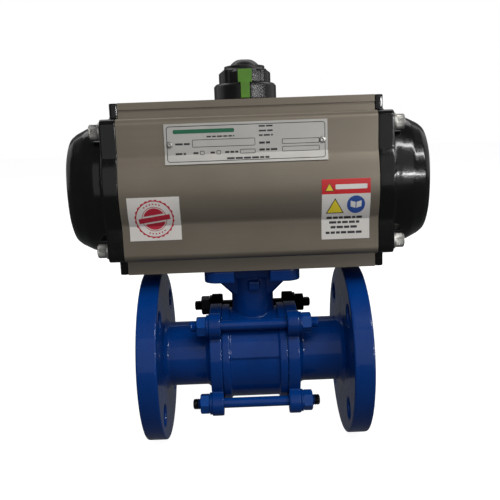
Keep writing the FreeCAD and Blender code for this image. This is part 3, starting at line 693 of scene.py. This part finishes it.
def cap_screws():
    """Knurled socket heads and washers at the corners of both caps."""
    heads, washers = bmesh.new(), bmesh.new()
    y, z = CAP_SCREW_HIGH.y - CAP_SCREW_R, CAP_SCREW_HIGH.z - CAP_SCREW_R - AXIS_Z
    base, top = CAP_WASHER_HIGH.x, CAP_SCREW_HIGH.x
    socket = hexagon(CAP_SOCKET)

    def knurl(depth):
        return lambda a: CAP_SCREW_R - depth * (0.5 + 0.5 * math.cos(KNURL_RIDGES * a))

    def ring(radius, height):
        return lambda a: (radius(a), height)

    height = top - base
    rings = [
        (CAP_SCREW_SHANK_R, -12.0), (CAP_SCREW_SHANK_R, -0.1), (CAP_SCREW_R - 0.4, 0.0),
        ring(knurl(0.0), 0.3), ring(knurl(KNURL_DEPTH), 0.7),
        ring(knurl(KNURL_DEPTH), height - 1.1), ring(knurl(0.0), height - 0.7),
        (CAP_SCREW_R - 0.25, height - 0.2), (CAP_SCREW_R - 0.6, height),
        (3.2, height), ring(socket, height - 0.35), ring(socket, height - 3.0),
        (0.6, height - 3.6),
    ]
    for sign in (-1, 1):
        for y_side in (-1, 1):
            for z_side in (-1, 1):
                centre = (sign * base, y_side * y, AXIS_Z + z_side * z)
                place = axis_matrix((sign, 0, 0), centre)
                stack(heads, rings, 6 * KNURL_RIDGES, place, closed=False)
                back = Matrix.Translation((-sign * CAP_WASHER_THICK, 0, 0))
                washer(washers, CAP_SCREW_SHANK_R + 0.1, CAP_WASHER_R, CAP_WASHER_THICK, 0.3,
                       back @ place)
    show(mesh_from(heads, "heads"), "cap_screw_heads", "housing", "stainless",
         "end_cap_screws")
    show(mesh_from(washers, "washers"), "cap_screw_washer_rings", "housing", "stainless",
         "end_cap_screw_washers")


# ---- Printing on the label side ----

def side_y(z):
    """How far forward the label side of the body stands at a height above the axis."""
    if abs(z) < CREASE:
        return -math.sqrt(CREST_R ** 2 - z ** 2)
    return -FLAT_Y


def bar(x, z):
    """Filled rectangle between two limits in x and two in z."""
    return [[(x[0], z[0]), (x[1], z[0]), (x[1], z[1]), (x[0], z[1])]]


def loop_strip(outer, inner):
    """Closed band between two outlines with the same number of points."""
    count = len(outer)
    return [[outer[i], outer[(i + 1) % count], inner[(i + 1) % count], inner[i]]
            for i in range(count)]


def round_rectangle(x, z, radius, steps=5):
    """Outline of a rectangle with rounded corners."""
    left, right = x[0] + radius, x[1] - radius
    low, high = z[0] + radius, z[1] - radius
    points = []
    for cx, cz, start in ((right, high, 0), (left, high, 90), (left, low, 180), (right, low, 270)):
        for i in range(steps + 1):
            angle = math.radians(start + 90 * i / steps)
            points.append((cx + radius * math.cos(angle), cz + radius * math.sin(angle)))
    return points


def outline_box(x, z, line, radius=0.3):
    """Empty box drawn with a line of the given width."""
    inner_x, inner_z = (x[0] + line, x[1] - line), (z[0] + line, z[1] - line)
    return loop_strip(round_rectangle(x, z, radius + line),
                      round_rectangle(inner_x, inner_z, radius))


def circle(centre, radius, count=48, wave=0.0, lobes=0, start=0.0, end=360.0):
    """Outline of a full circle, scalloped if it has a wave, or of a segment."""
    points = []
    gaps = count if end - start == 360 else count - 1
    for i in range(count):
        angle = math.radians(start + (end - start) * i / gaps)
        reach = radius + wave * math.cos(lobes * angle)
        points.append((centre[0] + reach * math.cos(angle), centre[1] + reach * math.sin(angle)))
    return points


def triangle(centre, width, height):
    """Outline of an upright triangle."""
    x, z = centre
    return [(x - width / 2, z - height / 2), (x + width / 2, z - height / 2), (x, z + height / 2)]


def word_bars(x, z, height, rng):
    """A line of print reduced to plain bars of uneven length."""
    bars, here = [], x[0]
    while here < x[1] - 0.8:
        end = min(x[1], here + rng.uniform(2.2, 5.2))
        bars += bar((here, end), (z - height / 2, z + height / 2))
        here = end + WORD_GAP
    return bars


def tilted(shapes, centre, angle):
    """The shapes turned about a centre by an angle in degrees."""
    turn = math.radians(angle)
    return [[(centre[0] + (x - centre[0]) * math.cos(turn) - (z - centre[1]) * math.sin(turn),
              centre[1] + (x - centre[0]) * math.sin(turn) + (z - centre[1]) * math.cos(turn))
             for x, z in shape] for shape in shapes]


def print_shapes(name, shapes, lift, ink):
    """Thin raised print that follows the side of the body, at a lift above the bare metal."""
    bm = bmesh.new()
    for shape in shapes:
        bm.faces.new([bm.verts.new((x, 0, z)) for x, z in shape])
    heights = [v.co.z for v in bm.verts]
    level = PRINT_SLICE * math.floor(min(heights) / PRINT_SLICE)
    levels = [CREASE, -CREASE]
    while level < max(heights):
        levels.append(level)
        level += PRINT_SLICE
    for level in levels:
        cut = bm.verts[:] + bm.edges[:] + bm.faces[:]
        bmesh.ops.bisect_plane(bm, geom=cut, plane_co=(0, 0, level), plane_no=(0, 0, 1))
    raised = bmesh.ops.extrude_face_region(bm, geom=bm.faces[:])["geom"]
    top = {item for item in raised if isinstance(item, bmesh.types.BMVert)}
    for vert in bm.verts:
        out = lift + (INK_THICK if vert in top else 0.0)
        vert.co.y = side_y(vert.co.z) - out
        vert.co.z += AXIS_Z
    show(mesh_from(bm, name), name, "housing", "label_film", material=INK[ink])


def name_plate_print():
    """Border, empty fields, tick boxes and plain bars where the real plate has words."""
    width, height = PLATE_HIGH.x - PLATE_LOW.x, PLATE_HIGH.z - PLATE_LOW.z
    low = PLATE_LOW.z - AXIS_Z
    rng = random.Random(4)

    def across(*shares):
        """Places along the plate, given as shares of its width."""
        return tuple(PLATE_LOW.x + share * width for share in shares)

    def down(*shares):
        """Places on the plate, given as shares of its height from the top, lowest first."""
        return tuple(low + (1 - share) * height for share in reversed(shares))

    def words(left, right, middle, size=1.25):
        return word_bars(across(left, right), down(middle)[0], size, rng)

    lines = outline_box((PLATE_LOW.x + 1.5, PLATE_HIGH.x - 1.5), (low + 1.5, low + height - 1.5),
                        0.45, 1.6)
    for left, right, top, bottom in ((0.17, 0.556, 0.40, 0.59), (0.216, 0.243, 0.68, 0.78),
                                     (0.317, 0.344, 0.68, 0.78), (0.462, 0.556, 0.67, 0.78),
                                     (0.72, 0.95, 0.45, 0.58), (0.72, 0.95, 0.635, 0.765)):
        lines += outline_box(across(left, right), down(top, bottom), 0.38)
    lines += words(0.26, 0.43, 0.335, 0.95) + words(0.066, 0.155, 0.50)
    lines += words(0.066, 0.13, 0.74) + words(0.175, 0.205, 0.73) + words(0.28, 0.307, 0.73)
    lines += words(0.37, 0.45, 0.73) + words(0.38, 0.64, 0.885)
    for middle in (0.12, 0.235, 0.345):
        lines += words(0.58, 0.665, middle, 1.05)
    lines += words(0.58, 0.65, 0.53, 1.4) + words(0.58, 0.69, 0.70, 1.4)
    print_shapes("nameplate_lines", lines, PLATE_THICK, "black")
    title = [round_rectangle(across(0.055, 0.43), down(0.145, 0.245), 1.0)]
    print_shapes("nameplate_title_bar", title, PLATE_THICK, "green")


def inspection_mark():
    """Scalloped double ring with a plain banner across its middle."""
    low, high = span("round_mark_label")
    centre = ((low.x + high.x) / 2, (low.z + high.z) / 2 - AXIS_Z)
    seal = loop_strip(circle(centre, 13.0, 144, 0.35, 24), circle(centre, 12.0, 144))
    seal += loop_strip(circle(centre, 8.4, 72), circle(centre, 8.0, 72))
    for start in (22, 202):
        seal.append(circle(centre, 7.4, 24, start=start, end=start + 136))
    seal += bar((centre[0] - 10.6, centre[0] + 10.6), (centre[1] - 1.7, centre[1] + 1.7))
    for angle in range(60, 121, 12):
        for turn in (0, 180):
            way = math.radians(angle + turn)
            dot = (centre[0] + 10.2 * math.cos(way), centre[1] + 10.2 * math.sin(way))
            seal.append(circle(dot, 0.55, 10))
    print_shapes("inspection_seal", tilted(seal, centre, 8), FILM_THICK, "crimson")


def header_label():
    """Red header with a yellow triangle and a plain bar, signs and lines of bars below."""
    low, high = span("red_header_label")
    left, top = low.x, high.z - AXIS_Z
    bottom = low.z - AXIS_Z
    width, height = high.x - low.x, top - bottom
    rng = random.Random(9)
    lift = FILM_THICK
    header = 9.9
    print_shapes("label_header", bar((left, high.x), (top - header, top)), lift, "red")
    over = lift + INK_THICK
    print_shapes("label_header_bar",
                 [round_rectangle((left + 9.0, high.x - 2.2), (top - 6.8, top - 3.6), 0.6)],
                 over, "white")
    small = (left + 5.0, top - 5.2)
    large = (left + 8.8, top - 17.8)
    black = [triangle(small, 6.2, 5.6), triangle(large, 12.0, 10.4)]
    print_shapes("label_sign_edges", black, over, "black")
    yellow = [triangle((small[0], small[1] - 0.15), 5.0, 4.4),
              triangle((large[0], large[1] - 0.3), 10.2, 8.8)]
    print_shapes("label_signs", yellow, over + INK_THICK, "yellow")
    disc = (left + 22.7, top - 17.3)
    print_shapes("label_disc", [circle(disc, 6.0)], over, "blue")
    pages = [[(disc[0] - 0.3, disc[1] - 2.4), (disc[0] - 0.3, disc[1] + 1.6),
              (disc[0] - 3.6, disc[1] + 2.6), (disc[0] - 3.6, disc[1] - 1.4)],
             [(disc[0] + 0.3, disc[1] - 2.4), (disc[0] + 3.6, disc[1] - 1.4),
              (disc[0] + 3.6, disc[1] + 2.6), (disc[0] + 0.3, disc[1] + 1.6)]]
    print_shapes("label_disc_pages", pages, over + INK_THICK, "white")
    lines = []
    for share, start, end in ((0.64, 0.105, 0.86), (0.72, 0.16, 0.81), (0.80, 0.19, 0.775),
                              (0.89, 0.085, 0.87)):
        reach = (left + start * width, left + end * width)
        lines += word_bars(reach, top - share * height, 1.6, rng)
    print_shapes("label_text_bars", lines, lift, "black")


def plate_rivets():
    """Drive rivets with domed heads and a dimple."""
    low, high = span("nameplate_rivets")
    bm = bmesh.new()
    height = high.y - low.y
    radius = (high.z - low.z) / 2
    head = radius * RIVET_SPREAD
    profile = [(0.01, -0.6), (radius * 0.7, -0.6), (radius * 0.7, 0.0), (head, 0.0),
               (head, height * 0.3), (head * 0.8, height * 1.1), (head * 0.4, height * 1.4),
               (head * 0.3, height * 0.8), (0.01, height * 0.6)]
    for x in (low.x + radius, high.x - radius):
        place = axis_matrix((0, -1, 0), (x, high.y, (low.z + high.z) / 2))
        stack(bm, rounded(profile, 0.2), 32, place, closed=False)
    show(mesh_from(bm, "rivets", sharp=50), "nameplate_rivet_heads", "housing", "stainless",
         "nameplate_rivets")


# ---- Stop screws and air ports at the rear ----

def stop_screws():
    """Socket set screws, each locked by a nut over a sealing washer."""
    nut_low, nut_high = span("stop_lock_nuts")
    washer_low, washer_high = span("stop_seal_washers")
    nuts, washers = bmesh.new(), bmesh.new()
    for name in ("stop_screw_open", "stop_screw_closed"):
        low, high = span(name)
        centre_x, z = (low.x + high.x) / 2, (low.z + high.z) / 2
        radius = (high.x - low.x) / 2
        bm = bmesh.new()
        place = axis_matrix((0, 1, 0), (centre_x, 0, z))
        socket = hexagon(STOP_SOCKET)
        rings = [(radius - 1.5, low.y), (radius - 0.6, low.y + 0.9)]
        rings += threaded(radius, M8_DEPTH, M8_PITCH, low.y + 1, high.y - 0.7)[:-2]
        rings += [(radius - 1.0, high.y), (2.5, high.y),
                  lambda a: (socket(a), high.y - 0.3), lambda a: (socket(a), high.y - 4),
                  (0.4, high.y - 4.8)]
        stack(bm, rings, 48, place, closed=False)
        show(mesh_from(bm, name), name + "_thread", name, "stainless", name)
        nut(nuts, nut_high.z - nut_low.z, radius, nut_high.y - nut_low.y,
            axis_matrix((0, 1, 0), (centre_x, nut_low.y, z)))
        outer = (washer_high.z - washer_low.z) / 2
        thick = washer_high.y - washer_low.y
        washer(washers, radius + 0.1, outer, thick, 0.4,
               axis_matrix((0, 1, 0), (centre_x, washer_low.y, z)), start=0.3)
    show(mesh_from(nuts, "lock_nuts"), "stop_lock_nut_hexagons", "housing", "stainless",
         "stop_lock_nuts")
    show(mesh_from(washers, "seal_washers"), "stop_seal_washer_rings", "housing", "seal_rubber",
         "stop_seal_washers")


def port_threads():
    """Female thread lining each air port."""
    bm = bmesh.new()
    for mount in frame["record"]["mounts"]:
        if not mount["name"].startswith("air_port"):
            continue
        radius, length = mount["dims"]["r_mm"], mount["dims"]["length_mm"]
        centre = Vector(mount["pos_m"]) / MM
        place = axis_matrix((0, 1, 0), centre)
        rings = [(radius - 0.02, length / 2 - 0.3), (radius - 0.02, 0.3 - length / 2)]
        steps = int(length / PORT_PITCH * RINGS_PER_TURN)
        for i in range(steps + 1):
            height = 0.3 - length / 2 + (length - 0.9) * i / steps

            def ring(angle, height=height):
                wave = abs((height / PORT_PITCH - angle / (2 * math.pi)) % 1.0 * 2 - 1)
                return radius - 0.12 - PORT_DEPTH * wave, height
            rings.append(ring)
        stack(bm, rings, 48, place)
    show(mesh_from(bm, "port_threads"), "air_port_threads", "housing", "body_anodised")


camera()
studio()
housings()
castings()
indicator()
tie_bolts()
cap_screws()
name_plate_print()
inspection_mark()
header_label()
plate_rivets()
stop_screws()
port_threads()
